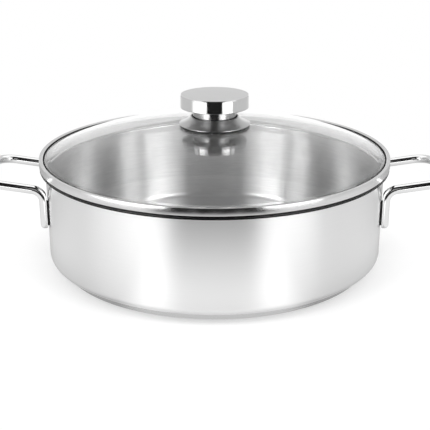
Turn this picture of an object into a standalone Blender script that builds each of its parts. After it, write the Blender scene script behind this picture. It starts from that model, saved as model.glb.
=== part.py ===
"""Low casserole pot with two rod handles and a glass lid, as separate pieces.

Metres, +Z up. The pot stands on Z = 0 with its axis on the Z axis, and the
handles lie along X. Every size that can be set by itself is named below once.
"""
import math

import bmesh
import bpy
from mathutils import Matrix, Vector

# Vessel
POT_INNER_RADIUS = 0.1400
POT_SHEET = 0.0010
POT_CORNER_RADIUS = 0.0055
POT_RIM_HEIGHT = 0.0853
RIM_BEND_RADIUS = 0.0030
RIM_LIP_WIDTH = 0.0045
RIM_FLAT_WIDTH = 0.0005
RIM_LIP_DROOP = math.radians(17)

# Base
BASE_HEIGHT = 0.0065
BASE_FOOT_INSET = 0.0100
BASE_SIDE_LEAN = math.radians(27)
BASE_SHEET = 0.0008
BASE_EDGE_RADIUS = 0.0012

# Handles
ROD_RADIUS = 0.0037
LEG_HALF_SPACING = 0.0364
LEG_LENGTH = 0.0320
LEG_TOP_BELOW_RIM = 0.0164
LEG_BEND_RADIUS = 0.0105
LEG_SET_IN = 0.0009
HANDLE_RISE = math.radians(8.5)
HANDLE_LENGTH = 0.0500
HANDLE_CORNER_RADIUS = 0.0170
ROD_END_ROUNDING = 0.0028
WELD_FLAT_DEPTH = 0.0009
WELD_PAD_HEIGHT = 0.0150
WELD_PAD_WIDTH = 0.0042

# Lid band, seal and glass
BAND_SHEET = 0.0006
BAND_OVERHANG = 0.0005
BAND_HEIGHT = 0.0060
BAND_FLANGE_WIDTH = 0.0027
BAND_EDGE_RADIUS = 0.0012
BAND_LOWER_EDGE_RADIUS = 0.0008
SEAT_ANGLE = math.radians(18.4)
SKIRT_CLEARANCE = 0.0007
SKIRT_DEPTH = 0.0095
HEM_HEIGHT = 0.0052
HEM_BULGE = 0.0008
HEM_ROUNDING = 0.0005
SEAL_THICKNESS = 0.0008
SEAL_LIP_WIDTH = 0.0018
GLASS_THICKNESS = 0.0036
GLASS_RISE = 0.0229
GLASS_MARGIN = 0.0035
GLASS_DOME_POWER = 1.2
GLASS_HOLE_RADIUS = 0.0050
GLASS_EDGE_SHARE = 0.25

# Knob
KNOB_CAP_RADIUS = 0.0287
KNOB_CAP_HEIGHT = 0.0104
KNOB_CAP_SHEET = 0.0012
KNOB_CAP_BEVEL = 0.0007
KNOB_NECK_RADIUS = 0.0182
KNOB_NECK_SHEET = 0.0010
KNOB_NECK_FOOT_RADIUS = 0.0020
KNOB_GRIP_HEIGHT = 0.0077
KNOB_SKIRT_RADIUS = 0.0296
KNOB_SKIRT_RISE = 0.0069
KNOB_SKIRT_SHEET = 0.0008
KNOB_SKIRT_HOLLOW = 0.0009
KNOB_SLIT = 0.0008
GASKET_RADIUS = 0.0286
GASKET_THICKNESS = 0.0006
SLEEVE_SHARE = 0.7
LOWER_GASKET_RADIUS = 0.0110
LOWER_GASKET_THICKNESS = 0.0015
WASHER_RADIUS = 0.0100
WASHER_THICKNESS = 0.0012
SCREW_RADIUS = 0.0025
SCREW_HEAD_RADIUS = 0.0048
SCREW_HEAD_HEIGHT = 0.0030
SCREW_HEAD_ROUNDING = 0.0018
SCREW_TIP_CHAMFER = 0.0008
SCREW_TIP_CLEARANCE = 0.0015
INSERT_RADIUS = 0.0060
INSERT_BORE_DEPTH = 0.0135

# Play between pieces that touch
GAP = 0.0003

# Rounding of a cut edge, as a share of the thickness it is on
EDGE_SHARE = 0.4

# Fineness of the round shapes
LARGE_STEPS = 52
SMALL_STEPS = 32
HIDDEN_STEPS = 24
DOME_RINGS = 8
GASKET_RINGS = 4
HOLLOW_STEPS = 5
ROD_RESOLUTION = 4
ROD_ARC_STEP = math.radians(13)
ARC_STEP = math.radians(31)
FINE_ARC_STEP = math.radians(46)
FINE_ARC_RADIUS = 0.0015
MERGE_DISTANCE = 0.00001
SMOOTH_ANGLE = math.radians(35)

# Places worked out from the sizes above
pot_outer_radius = POT_INNER_RADIUS + POT_SHEET
floor_underside = BASE_HEIGHT + GAP
floor_top = floor_underside + POT_SHEET
rim_bend_center = Vector((POT_INNER_RADIUS + RIM_BEND_RADIUS, POT_RIM_HEIGHT - RIM_BEND_RADIUS))
rim_outer_radius = pot_outer_radius + RIM_LIP_WIDTH
base_foot_radius = pot_outer_radius - BASE_FOOT_INSET
band_outer_radius = rim_outer_radius + BAND_OVERHANG
skirt_outer_radius = POT_INNER_RADIUS - SKIRT_CLEARANCE
skirt_inner_radius = skirt_outer_radius - BAND_SHEET
band_inner_radius = band_outer_radius - BAND_SHEET
band_flange_radius = band_outer_radius - BAND_FLANGE_WIDTH


def seat_height(radius):
    """Height of the band's sloping underside, which rests on the bend of the pot's rim."""
    lift = (RIM_BEND_RADIUS + GAP) / math.cos(SEAT_ANGLE)
    return rim_bend_center.y + (radius - rim_bend_center.x) * math.tan(SEAT_ANGLE) + lift


def channel_floor_height(radius):
    """Height of the upper face of the band's sloping floor."""
    return seat_height(radius) + BAND_SHEET / math.cos(SEAT_ANGLE)


skirt_bottom = seat_height(skirt_outer_radius) - SKIRT_DEPTH
band_top = seat_height(band_outer_radius) + BAND_HEIGHT
glass_edge_radius = band_inner_radius - SEAL_THICKNESS - 2 * GAP
glass_edge_top = band_top - BAND_SHEET - GAP
glass_edge_bottom = glass_edge_top - GLASS_THICKNESS
glass_dome_radius = glass_edge_radius - GLASS_MARGIN


def glass_top_height(radius):
    """Height of the glass: a dome (1 - u squared) to a power, flat at the margin."""
    share = min(radius / glass_dome_radius, 1.0)
    return glass_edge_top + GLASS_RISE * (1.0 - share * share) ** GLASS_DOME_POWER


glass_apex = glass_top_height(0.0)
gasket_top = glass_apex + GAP + GASKET_THICKNESS
knob_skirt_bottom = gasket_top + GAP
knob_skirt_top = knob_skirt_bottom + KNOB_SKIRT_RISE
neck_floor_bottom = knob_skirt_bottom + KNOB_SKIRT_SHEET + GAP
cap_bottom = knob_skirt_top + KNOB_GRIP_HEIGHT
cap_top = cap_bottom + KNOB_CAP_HEIGHT
cap_roof = cap_top - KNOB_CAP_SHEET
neck_flange_bottom = cap_bottom + GAP
insert_bottom = neck_floor_bottom + KNOB_NECK_SHEET + GAP
insert_bore_top = insert_bottom + INSERT_BORE_DEPTH
screw_hole_radius = SCREW_RADIUS + GAP
lower_gasket_top = glass_top_height(LOWER_GASKET_RADIUS) - GLASS_THICKNESS - GAP
washer_top = lower_gasket_top - LOWER_GASKET_THICKNESS - GAP
screw_head_top = washer_top - WASHER_THICKNESS - GAP
leg_axis_radius = pot_outer_radius + GAP + ROD_RADIUS - LEG_SET_IN
leg_x = math.sqrt(leg_axis_radius ** 2 - LEG_HALF_SPACING ** 2)
leg_azimuth = math.asin(LEG_HALF_SPACING / leg_axis_radius)
leg_top_height = POT_RIM_HEIGHT - LEG_TOP_BELOW_RIM
leg_end_height = leg_top_height - LEG_LENGTH
handle_reach = pot_outer_radius + HANDLE_LENGTH
weld_flat_radius = pot_outer_radius + GAP + WELD_FLAT_DEPTH


def clear_scene():
    for old in list(bpy.data.objects):
        bpy.data.objects.remove(old)


def new_collection(name):
    collection = bpy.data.collections.new(name)
    bpy.context.scene.collection.children.link(collection)
    return collection


def new_material(name, color, roughness, metallic, transmission=0.0):
    material = bpy.data.materials.new(name)
    material.use_nodes = True
    shader = material.node_tree.nodes["Principled BSDF"]
    shader.inputs["Base Color"].default_value = (*color, 1.0)
    shader.inputs["Roughness"].default_value = roughness
    shader.inputs["Metallic"].default_value = metallic
    shader.inputs["Transmission Weight"].default_value = transmission
    return material


def rounded_outline(corners):
    """Points of an outline whose corners are (radius, height, fillet); a fillet becomes an arc."""
    outline = []
    count = len(corners)
    for index, (radius, height, fillet) in enumerate(corners):
        here = Vector((radius, height))
        if fillet <= 0.0:
            outline.append(here)
            continue
        to_last = (Vector(corners[index - 1][:2]) - here).normalized()
        to_next = (Vector(corners[(index + 1) % count][:2]) - here).normalized()
        half = to_last.angle(to_next) / 2
        center = here + (to_last + to_next).normalized() * (fillet / math.sin(half))
        start = here + to_last * (fillet / math.tan(half)) - center
        end = here + to_next * (fillet / math.tan(half)) - center
        turn = math.atan2(start.x * end.y - start.y * end.x, start.dot(end))
        arc_step = FINE_ARC_STEP if fillet < FINE_ARC_RADIUS else ARC_STEP
        steps = max(1, round(abs(turn) / arc_step))
        for step in range(steps + 1):
            angle = turn * step / steps
            outline.append(center + Matrix.Rotation(angle, 2) @ start)
    return outline


def turned(name, outline, material, collection, steps=LARGE_STEPS, closed=True):
    """A turned piece: the outline (radius, height) carried round the Z axis by a Screw modifier."""
    mesh = bpy.data.meshes.new(name)
    count = len(outline)
    edges = [(index, index + 1) for index in range(count - 1)]
    if closed:
        edges.append((count - 1, 0))
    mesh.from_pydata([(point.x, 0.0, point.y) for point in outline], edges, [])
    piece = bpy.data.objects.new(name, mesh)
    collection.objects.link(piece)
    piece.data.materials.append(material)
    screw = piece.modifiers.new("Turn", "SCREW")
    screw.axis = "Z"
    screw.angle = 2 * math.pi
    screw.steps = steps
    screw.render_steps = steps
    screw.use_merge_vertices = True
    screw.merge_threshold = MERGE_DISTANCE
    screw.use_smooth_shade = False
    return piece


def bake_modifiers(piece):
    """Replace the piece's mesh by its evaluated one and drop the modifiers."""
    bpy.context.view_layer.update()
    evaluated = piece.evaluated_get(bpy.context.evaluated_depsgraph_get())
    mesh = bpy.data.meshes.new_from_object(evaluated)
    piece.modifiers.clear()
    piece.data = mesh
    return mesh


def weld_and_smooth(mesh):
    """Merge doubled points, and shade round faces smooth up to the sharp edges."""
    work = bmesh.new()
    work.from_mesh(mesh)
    bmesh.ops.remove_doubles(work, verts=work.verts, dist=MERGE_DISTANCE)
    work.to_mesh(mesh)
    work.free()
    mesh.shade_smooth()
    mesh.set_sharp_from_angle(angle=SMOOTH_ANGLE)


def cut(piece, cutter, operation="DIFFERENCE"):
    """Boolean modifier with a cutter that is hidden from the render."""
    boolean = piece.modifiers.new("Cut by " + cutter.name, "BOOLEAN")
    boolean.operation = operation
    boolean.solver = "EXACT"
    boolean.object = cutter
    cutter.hide_render = True
    cutter.display_type = "WIRE"


def cylinder_cutter(name, radius, bottom, top, collection):
    """Cylinder on the pot's axis with as many sides as the pot."""
    outline = [Vector((0.0, top)), Vector((radius, top)), Vector((radius, bottom)), Vector((0.0, bottom))]
    cutter = turned(name, outline, None, collection, closed=False)
    weld_and_smooth(bake_modifiers(cutter))
    return cutter


def make_pot_body(collection):
    """Drawn vessel: from the floor's centre up the inside, over the rim and down the outside."""
    lip_start = rim_bend_center.x + RIM_FLAT_WIDTH
    lip_top = POT_RIM_HEIGHT - (rim_outer_radius - lip_start) * math.tan(RIM_LIP_DROOP)
    lip_bottom = lip_top - POT_SHEET / math.cos(RIM_LIP_DROOP)
    inner_corner = max(POT_CORNER_RADIUS - POT_SHEET, 0.0)
    under_bend = max(RIM_BEND_RADIUS - POT_SHEET, 0.0)
    edge_rounding = POT_SHEET * EDGE_SHARE
    corners = [
        (0.0, floor_top, 0.0),
        (POT_INNER_RADIUS, floor_top, inner_corner),
        (POT_INNER_RADIUS, POT_RIM_HEIGHT, RIM_BEND_RADIUS),
        (lip_start, POT_RIM_HEIGHT, 0.0),
        (rim_outer_radius, lip_top, edge_rounding),
        (rim_outer_radius, lip_bottom, edge_rounding),
        (lip_start, POT_RIM_HEIGHT - POT_SHEET, 0.0),
        (pot_outer_radius, POT_RIM_HEIGHT - POT_SHEET, under_bend),
        (pot_outer_radius, floor_underside, POT_CORNER_RADIUS),
        (0.0, floor_underside, 0.0),
    ]
    steel = new_material("satin_steel", (0.62, 0.62, 0.61), 0.28, 1.0)
    return turned("pot_body", rounded_outline(corners), steel, collection, closed=False)


def make_base(collection):
    """Aluminium disc in a pressed steel pan, whose side leans outward to the vessel's corner."""
    lean = math.tan(BASE_SIDE_LEAN)
    top_radius = base_foot_radius + BASE_HEIGHT * lean
    side_sheet = BASE_SHEET / math.cos(BASE_SIDE_LEAN)
    inside_floor = top_radius - side_sheet - (BASE_HEIGHT - BASE_SHEET) * lean
    cap_corners = [
        (0.0, BASE_SHEET, 0.0),
        (inside_floor, BASE_SHEET, 0.0),
        (top_radius - side_sheet, BASE_HEIGHT, 0.0),
        (top_radius, BASE_HEIGHT, 0.0),
        (base_foot_radius, 0.0, BASE_EDGE_RADIUS),
        (0.0, 0.0, 0.0),
    ]
    steel = new_material("base_steel", (0.60, 0.60, 0.60), 0.35, 1.0)
    turned("base_cap", rounded_outline(cap_corners), steel, collection, closed=False)

    side_gap = GAP / math.cos(BASE_SIDE_LEAN)
    core_bottom = BASE_SHEET + GAP
    core_top_radius = top_radius - side_sheet - side_gap
    core_bottom_radius = core_top_radius - (BASE_HEIGHT - core_bottom) * lean
    core_corners = [
        (0.0, BASE_HEIGHT, 0.0),
        (core_top_radius, BASE_HEIGHT, 0.0),
        (core_bottom_radius, core_bottom, 0.0),
        (0.0, core_bottom, 0.0),
    ]
    aluminium = new_material("aluminium", (0.75, 0.75, 0.76), 0.45, 1.0)
    turned("base_core", rounded_outline(core_corners), aluminium, collection, closed=False)


def arc_points(center, start, axis, angle):
    """Points of an arc about an axis through the center, without its first point."""
    steps = max(2, round(abs(angle) / ROD_ARC_STEP))
    arm = start - center
    return [center + Matrix.Rotation(angle * step / steps, 3, axis) @ arm for step in range(1, steps + 1)]


def handle_path(side):
    """Middle line of one rod: up a leg, outward, across and back, symmetric about Y = 0."""
    up = Vector((0.0, 0.0, 1.0))
    outward = Vector((side * math.cos(HANDLE_RISE), 0.0, math.sin(HANDLE_RISE)))
    across = Vector((0.0, 1.0, 0.0))
    knee = Vector((side * leg_x, -LEG_HALF_SPACING, leg_top_height))
    knee_turn = math.pi / 2 - HANDLE_RISE
    knee_reach = LEG_BEND_RADIUS * math.tan(knee_turn / 2)
    bend_start = knee - up * knee_reach
    bend_center = bend_start + Vector((side * LEG_BEND_RADIUS, 0.0, 0.0))
    corner = knee + outward * ((handle_reach - leg_x) / math.cos(HANDLE_RISE))
    corner_start = corner - outward * HANDLE_CORNER_RADIUS
    corner_center = corner_start + across * HANDLE_CORNER_RADIUS
    half = [Vector((knee.x, knee.y, leg_end_height)), bend_start]
    half += arc_points(bend_center, bend_start, across, side * knee_turn)
    half.append(corner_start)
    half += arc_points(corner_center, corner_start, outward.cross(across), math.pi / 2)
    return half + [Vector((point.x, -point.y, point.z)) for point in reversed(half)]


def make_handle(name, side, material, collection, flat_cutter):
    """Round rod bent along its path, with a flat on each leg where it is welded to the wall."""
    points = handle_path(side)
    curve = bpy.data.curves.new(name, "CURVE")
    curve.dimensions = "3D"
    curve.bevel_depth = ROD_RADIUS
    curve.bevel_resolution = ROD_RESOLUTION
    curve.use_fill_caps = True
    spline = curve.splines.new("POLY")
    spline.points.add(len(points) - 1)
    for spline_point, point in zip(spline.points, points):
        spline_point.co = (*point, 1.0)
    guide = bpy.data.objects.new(name + "_path", curve)
    collection.objects.link(guide)
    bpy.context.view_layer.update()
    evaluated = guide.evaluated_get(bpy.context.evaluated_depsgraph_get())
    mesh = bpy.data.meshes.new_from_object(evaluated)
    mesh.name = name
    piece = bpy.data.objects.new(name, mesh)
    piece.matrix_world = guide.matrix_world
    collection.objects.link(piece)
    bpy.data.objects.remove(guide)
    weld_and_smooth(mesh)
    mesh.materials.clear()
    mesh.materials.append(material)
    rounding = piece.modifiers.new("Rounded ends", "BEVEL")
    rounding.width = ROD_END_ROUNDING
    rounding.segments = 2
    rounding.limit_method = "ANGLE"
    rounding.angle_limit = math.radians(60)
    cut(piece, flat_cutter)
    return piece


def make_weld_pad(name, side_x, side_y, material, collection, inner_cutter, outer_cutter):
    """Weld metal between one leg's flat and the wall, curved like the wall."""
    azimuth = math.atan2(side_y * math.sin(leg_azimuth), side_x * math.cos(leg_azimuth))
    middle = (pot_outer_radius + weld_flat_radius) / 2
    height = leg_end_height + ROD_END_ROUNDING + WELD_PAD_HEIGHT / 2
    bpy.ops.mesh.primitive_cube_add(size=1.0)
    piece = bpy.context.active_object
    piece.name = name
    piece.data.name = name
    for owner in list(piece.users_collection):
        owner.objects.unlink(piece)
    collection.objects.link(piece)
    piece.data.transform(Matrix.Diagonal((2 * ROD_RADIUS, WELD_PAD_WIDTH, WELD_PAD_HEIGHT, 1.0)))
    piece.rotation_euler.z = azimuth
    piece.location = (middle * math.cos(azimuth), middle * math.sin(azimuth), height)
    piece.data.materials.append(material)
    cut(piece, outer_cutter, "INTERSECT")
    cut(piece, inner_cutter)
    return piece


def make_handles(collection, cutters):
    rod_steel = new_material("polished_rod", (0.72, 0.72, 0.72), 0.08, 1.0)
    weld_steel = new_material("weld_metal", (0.5, 0.5, 0.5), 0.5, 1.0)
    top = POT_RIM_HEIGHT
    flat_cutter = cylinder_cutter("leg_flat_cutter", weld_flat_radius, 0.0, top, cutters)
    inner_cutter = cylinder_cutter("pad_inner_cutter", pot_outer_radius + GAP, 0.0, top, cutters)
    outer_cutter = cylinder_cutter("pad_outer_cutter", weld_flat_radius - GAP, 0.0, top, cutters)
    for side_name, side_x in (("left", -1), ("right", 1)):
        make_handle("handle_" + side_name, side_x, rod_steel, collection, flat_cutter)
        for place_name, side_y in (("front", -1), ("back", 1)):
            name = "weld_pad_" + side_name + "_" + place_name
            make_weld_pad(name, side_x, side_y, weld_steel, collection, inner_cutter, outer_cutter)


def make_lid_band(collection):
    """Rolled band: flange over the glass, outer wall, sloping seat, and a hemmed skirt inside the pot."""
    edge = min(BAND_EDGE_RADIUS, BAND_HEIGHT / 3)
    inner_edge = max(edge - BAND_SHEET, 0.0)
    hem_radius = skirt_inner_radius - HEM_BULGE
    corners = [
        (band_flange_radius, band_top, 0.0),
        (band_outer_radius, band_top, edge),
        (band_outer_radius, seat_height(band_outer_radius), BAND_LOWER_EDGE_RADIUS),
        (skirt_outer_radius, seat_height(skirt_outer_radius), edge),
        (skirt_outer_radius, skirt_bottom, HEM_ROUNDING),
        (hem_radius, skirt_bottom, HEM_ROUNDING),
        (hem_radius, skirt_bottom + HEM_HEIGHT, HEM_ROUNDING),
        (skirt_inner_radius, skirt_bottom + HEM_HEIGHT + HEM_BULGE, 0.0),
        (skirt_inner_radius, channel_floor_height(skirt_inner_radius), edge),
        (band_inner_radius, channel_floor_height(band_inner_radius), 0.0),
        (band_inner_radius, band_top - BAND_SHEET, inner_edge),
        (band_flange_radius, band_top - BAND_SHEET, 0.0),
    ]
    steel = new_material("polished_band", (0.70, 0.70, 0.70), 0.10, 1.0)
    return turned("lid_rim_band", rounded_outline(corners), steel, collection)


def make_lid_seal(collection):
    """Silicone strip: upright round the glass edge, with a wedge under the glass."""
    outer = band_inner_radius - GAP
    inner = outer - SEAL_THICKNESS
    lip = inner - SEAL_LIP_WIDTH
    under_glass = glass_edge_bottom - GAP
    top = glass_edge_top - GAP
    corners = [
        (outer, top, 0.0),
        (outer, channel_floor_height(outer) + GAP, 0.0),
        (lip, channel_floor_height(lip) + GAP, 0.0),
        (lip, under_glass, 0.0),
        (inner, under_glass, 0.0),
        (inner, top, 0.0),
    ]
    silicone = new_material("clear_silicone", (0.75, 0.75, 0.75), 0.4, 0.0)
    return turned("lid_rim_seal", rounded_outline(corners), silicone, collection)


def make_lid_glass(collection):
    """Domed pane of even thickness, flat at its margin, with a round hole in the middle."""
    span = glass_dome_radius - GLASS_HOLE_RADIUS
    top = []
    for ring in range(DOME_RINGS + 1):
        radius = GLASS_HOLE_RADIUS + span * math.sin(math.pi / 2 * ring / DOME_RINGS)
        top.append(Vector((radius, glass_top_height(radius))))
    edge_rounding = GLASS_THICKNESS * GLASS_EDGE_SHARE
    rim = [
        Vector((glass_edge_radius - edge_rounding, glass_edge_top)),
        Vector((glass_edge_radius, glass_edge_top - edge_rounding)),
        Vector((glass_edge_radius, glass_edge_bottom + edge_rounding)),
        Vector((glass_edge_radius - edge_rounding, glass_edge_bottom)),
    ]
    drop = Vector((0.0, GLASS_THICKNESS))
    bottom = [point - drop for point in reversed(top)]
    glass = new_material("clear_glass", (0.95, 0.97, 0.97), 0.02, 0.0, 1.0)
    return turned("lid_glass", top + rim + bottom, glass, collection)


def make_knob_cap(collection):
    """Pressed disc, open below, with a narrow bevel round its top face."""
    inner = KNOB_CAP_RADIUS - KNOB_CAP_SHEET
    corners = [
        (0.0, cap_top, 0.0),
        (KNOB_CAP_RADIUS - KNOB_CAP_BEVEL, cap_top, 0.0),
        (KNOB_CAP_RADIUS, cap_top - KNOB_CAP_BEVEL, 0.0),
        (KNOB_CAP_RADIUS, cap_bottom, KNOB_CAP_SHEET * EDGE_SHARE),
        (inner, cap_bottom, 0.0),
        (inner, cap_roof, KNOB_CAP_BEVEL),
        (0.0, cap_roof, 0.0),
    ]
    steel = new_material("satin_cap", (0.66, 0.66, 0.66), 0.2, 1.0)
    return turned("knob_cap", rounded_outline(corners), steel, collection, SMALL_STEPS, closed=False)


def make_knob_neck(collection):
    """Collar whose flange closes the cap from below and whose floor takes the screw's pull."""
    flange = KNOB_CAP_RADIUS - KNOB_CAP_SHEET - GAP
    flange_top = neck_flange_bottom + KNOB_NECK_SHEET
    inner = KNOB_NECK_RADIUS - KNOB_NECK_SHEET
    floor_of_neck = neck_floor_bottom + KNOB_NECK_SHEET
    corners = [
        (flange, flange_top, 0.0),
        (flange, neck_flange_bottom, 0.0),
        (KNOB_NECK_RADIUS, neck_flange_bottom, KNOB_NECK_SHEET),
        (KNOB_NECK_RADIUS, neck_floor_bottom, KNOB_NECK_FOOT_RADIUS),
        (screw_hole_radius, neck_floor_bottom, 0.0),
        (screw_hole_radius, floor_of_neck, 0.0),
        (inner, floor_of_neck, KNOB_NECK_SHEET),
        (inner, flange_top, 0.0),
    ]
    steel = new_material("polished_neck", (0.72, 0.72, 0.72), 0.06, 1.0)
    return turned("knob_neck", rounded_outline(corners), steel, collection, SMALL_STEPS)


def make_knob_skirt(collection):
    """Plate under the knob: a hollow-ground cone round a flat floor, open above for the neck."""
    opening = KNOB_NECK_RADIUS + KNOB_SLIT
    edge_top = knob_skirt_bottom + KNOB_SKIRT_SHEET
    foot = Vector((KNOB_SKIRT_RADIUS, edge_top))
    crest = Vector((opening + KNOB_SKIRT_SHEET, knob_skirt_top))
    hollow = (crest - foot).orthogonal().normalized() * KNOB_SKIRT_HOLLOW
    if hollow.y > 0.0:
        hollow = -hollow
    outer = []
    for step in range(HOLLOW_STEPS + 1):
        share = step / HOLLOW_STEPS
        outer.append(crest.lerp(foot, share) + hollow * (4 * share * (1 - share)))
    shift = Vector((-KNOB_SKIRT_SHEET, 0.0))
    inner = [point + shift for point in outer]
    inner = [point for point in inner if point.y > edge_top + KNOB_SKIRT_SHEET / 2]
    inner.append(Vector((inner[-1].x + KNOB_SKIRT_SHEET, edge_top)))
    bottom = [
        Vector((KNOB_SKIRT_RADIUS, knob_skirt_bottom)),
        Vector((screw_hole_radius, knob_skirt_bottom)),
        Vector((screw_hole_radius, edge_top)),
    ]
    steel = new_material("satin_skirt", (0.6, 0.6, 0.6), 0.3, 1.0)
    outline = outer + bottom + list(reversed(inner))
    return turned("knob_skirt", outline, steel, collection, SMALL_STEPS)


def make_gaskets(collection):
    """Black ring above the glass, with a sleeve through its hole, and a smaller ring below."""
    rubber = new_material("black_rubber", (0.02, 0.02, 0.02), 0.6, 0.0)
    sleeve = GLASS_HOLE_RADIUS - GAP
    sleeve_bottom = glass_apex - GLASS_THICKNESS * SLEEVE_SHARE
    outline = [Vector((screw_hole_radius, gasket_top)), Vector((GASKET_RADIUS, gasket_top))]
    for ring in range(GASKET_RINGS + 1):
        radius = GASKET_RADIUS + (sleeve - GASKET_RADIUS) * ring / GASKET_RINGS
        outline.append(Vector((radius, glass_top_height(radius) + GAP)))
    outline.append(Vector((sleeve, sleeve_bottom)))
    outline.append(Vector((screw_hole_radius, sleeve_bottom)))
    turned("knob_upper_gasket", outline, rubber, collection, SMALL_STEPS)

    bottom = lower_gasket_top - LOWER_GASKET_THICKNESS
    edge = LOWER_GASKET_THICKNESS * EDGE_SHARE
    corners = [
        (screw_hole_radius, lower_gasket_top, 0.0),
        (LOWER_GASKET_RADIUS, lower_gasket_top, 0.0),
        (LOWER_GASKET_RADIUS, bottom, edge),
        (screw_hole_radius, bottom, 0.0),
    ]
    turned("knob_lower_gasket", rounded_outline(corners), rubber, collection, HIDDEN_STEPS)


def make_fastening(collection):
    """Washer, screw from below, and the threaded boss it pulls on inside the knob."""
    steel = new_material("fastener_steel", (0.6, 0.6, 0.6), 0.3, 1.0)
    washer_bottom = washer_top - WASHER_THICKNESS
    washer_corners = [
        (screw_hole_radius, washer_top, 0.0),
        (WASHER_RADIUS, washer_top, 0.0),
        (WASHER_RADIUS, washer_bottom, WASHER_THICKNESS * EDGE_SHARE),
        (screw_hole_radius, washer_bottom, 0.0),
    ]
    turned("knob_washer", rounded_outline(washer_corners), steel, collection, HIDDEN_STEPS)

    screw_tip = insert_bore_top - SCREW_TIP_CLEARANCE
    head_bottom = screw_head_top - SCREW_HEAD_HEIGHT
    screw_corners = [
        (0.0, screw_tip, 0.0),
        (SCREW_RADIUS - SCREW_TIP_CHAMFER, screw_tip, 0.0),
        (SCREW_RADIUS, screw_tip - SCREW_TIP_CHAMFER, 0.0),
        (SCREW_RADIUS, screw_head_top, 0.0),
        (SCREW_HEAD_RADIUS, screw_head_top, 0.0),
        (SCREW_HEAD_RADIUS, head_bottom, SCREW_HEAD_ROUNDING),
        (0.0, head_bottom, 0.0),
    ]
    screw_steel = new_material("screw_steel", (0.55, 0.55, 0.55), 0.25, 1.0)
    turned("knob_screw", rounded_outline(screw_corners), screw_steel, collection, HIDDEN_STEPS, closed=False)

    insert_top = cap_roof - GAP
    insert_corners = [
        (0.0, insert_top, 0.0),
        (INSERT_RADIUS, insert_top, 0.0),
        (INSERT_RADIUS, insert_bottom, 0.0),
        (screw_hole_radius, insert_bottom, 0.0),
        (screw_hole_radius, insert_bore_top, 0.0),
        (0.0, insert_bore_top, 0.0),
    ]
    insert_steel = new_material("insert_steel", (0.5, 0.5, 0.5), 0.35, 1.0)
    turned("knob_insert", rounded_outline(insert_corners), insert_steel, collection, HIDDEN_STEPS, closed=False)


def join_to_lid(collection):
    """Parent the lid's pieces to an empty on the line along which the lid lifts."""
    lid_axis = bpy.data.objects.new("lid_axis", None)
    collection.objects.link(lid_axis)
    for piece in collection.objects:
        if piece.name.startswith(("lid_", "knob_")) and piece is not lid_axis:
            piece.parent = lid_axis


def main():
    clear_scene()
    casserole = new_collection("casserole_pot")
    cutters = new_collection("cutters")
    make_pot_body(casserole)
    make_base(casserole)
    make_handles(casserole, cutters)
    make_lid_band(casserole)
    make_lid_seal(casserole)
    make_lid_glass(casserole)
    make_knob_cap(casserole)
    make_knob_neck(casserole)
    make_knob_skirt(casserole)
    make_gaskets(casserole)
    make_fastening(casserole)
    join_to_lid(casserole)


main()
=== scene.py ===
"""Low casserole pot with rod handles and a glass lid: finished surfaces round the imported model.

The file is laid out as an add-on: sizes and colours in property groups, one operator for each
piece or group of like pieces, and a panel that lists them. Metres, +Z up. Each piece sits at
the origin, with its place in its mesh. Nearly every piece is turned about the Z axis.
"""

import cmath
import math

import bpy
import numpy as np
from bpy.props import FloatProperty, FloatVectorProperty, PointerProperty
from bpy.types import Operator, Panel, PropertyGroup
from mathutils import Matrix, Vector


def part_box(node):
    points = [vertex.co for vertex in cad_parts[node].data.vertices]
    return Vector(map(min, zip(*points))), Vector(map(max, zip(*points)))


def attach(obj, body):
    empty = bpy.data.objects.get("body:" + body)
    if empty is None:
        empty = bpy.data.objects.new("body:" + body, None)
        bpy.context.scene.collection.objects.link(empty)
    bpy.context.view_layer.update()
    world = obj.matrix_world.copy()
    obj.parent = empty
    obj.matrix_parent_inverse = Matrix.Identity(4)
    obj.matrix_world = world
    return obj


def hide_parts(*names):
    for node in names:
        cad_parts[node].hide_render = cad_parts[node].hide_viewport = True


bl_info = {
    "name": "Casserole pot",
    "version": (1, 0, 0),
    "blender": (4, 5, 0),
    "location": "3D View > Sidebar > Casserole",
    "description": "Makes the finished surfaces of a steel casserole pot with a glass lid",
    "category": "Add Mesh",
}

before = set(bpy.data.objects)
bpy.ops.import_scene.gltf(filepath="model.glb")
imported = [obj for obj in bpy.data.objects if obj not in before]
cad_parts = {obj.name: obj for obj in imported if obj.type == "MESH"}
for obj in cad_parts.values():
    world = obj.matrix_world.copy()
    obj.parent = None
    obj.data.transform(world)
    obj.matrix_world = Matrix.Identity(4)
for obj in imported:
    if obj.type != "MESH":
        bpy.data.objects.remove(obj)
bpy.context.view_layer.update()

# Play that touching pieces keep, and the radius of a weld bead's tips
PLAY = 0.0003
WELD_PLAY = 0.00005
WELD_TIP = 0.0002

# Fineness of the surfaces
TURNS = 256
SMALL_TURNS = 128
FINE_TURNS = 384
ROD_POINTS = 24
GLASS_POINTS = 72
ARC_STEP = math.radians(7.5)
BEND_STEP = math.radians(4)
AXIS_TOLERANCE = 1e-7

# Rounding of a broken edge, and roundings and steps as shares of the thickness that they end
BROKEN_EDGE = 0.00012
FREE_EDGE = 0.45
SOFT_EDGE = 0.4
FOLD = 0.7
HEM_TOP = 1.6
LIP_SHEET = 0.6
LIP_BEND = 0.3
ARC_SHARE = 1.3
SHOULDER_START = 1.05
SHOULDER_FALL = 0.15
STEP_FOOT = 0.1

# Where rim and legs wear near-black steel as painted shade of the gaps: part of the normal
# upward or inward, and depth from the flat
LIP_UP = 0.93
LEG_INWARD = 0.62
LEG_DEPTH = 0.008

# Depth of the finest relief, and the range that a noise mostly keeps to
SHALLOW = 0.00005
USUAL = (0.3, 0.7)

# Turns of the light from which it is deep in the pot, the floor's reach and depth, the lamps' aim
DEEP = 4.5
FLOOR_REACH = 6.0
FLOOR_DEPTH = 0.0004
POT_MIDDLE = (0.0, 0.0, 0.06)


def number(description, default, **limits):
    return FloatProperty(description=description, default=default, **limits)


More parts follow.
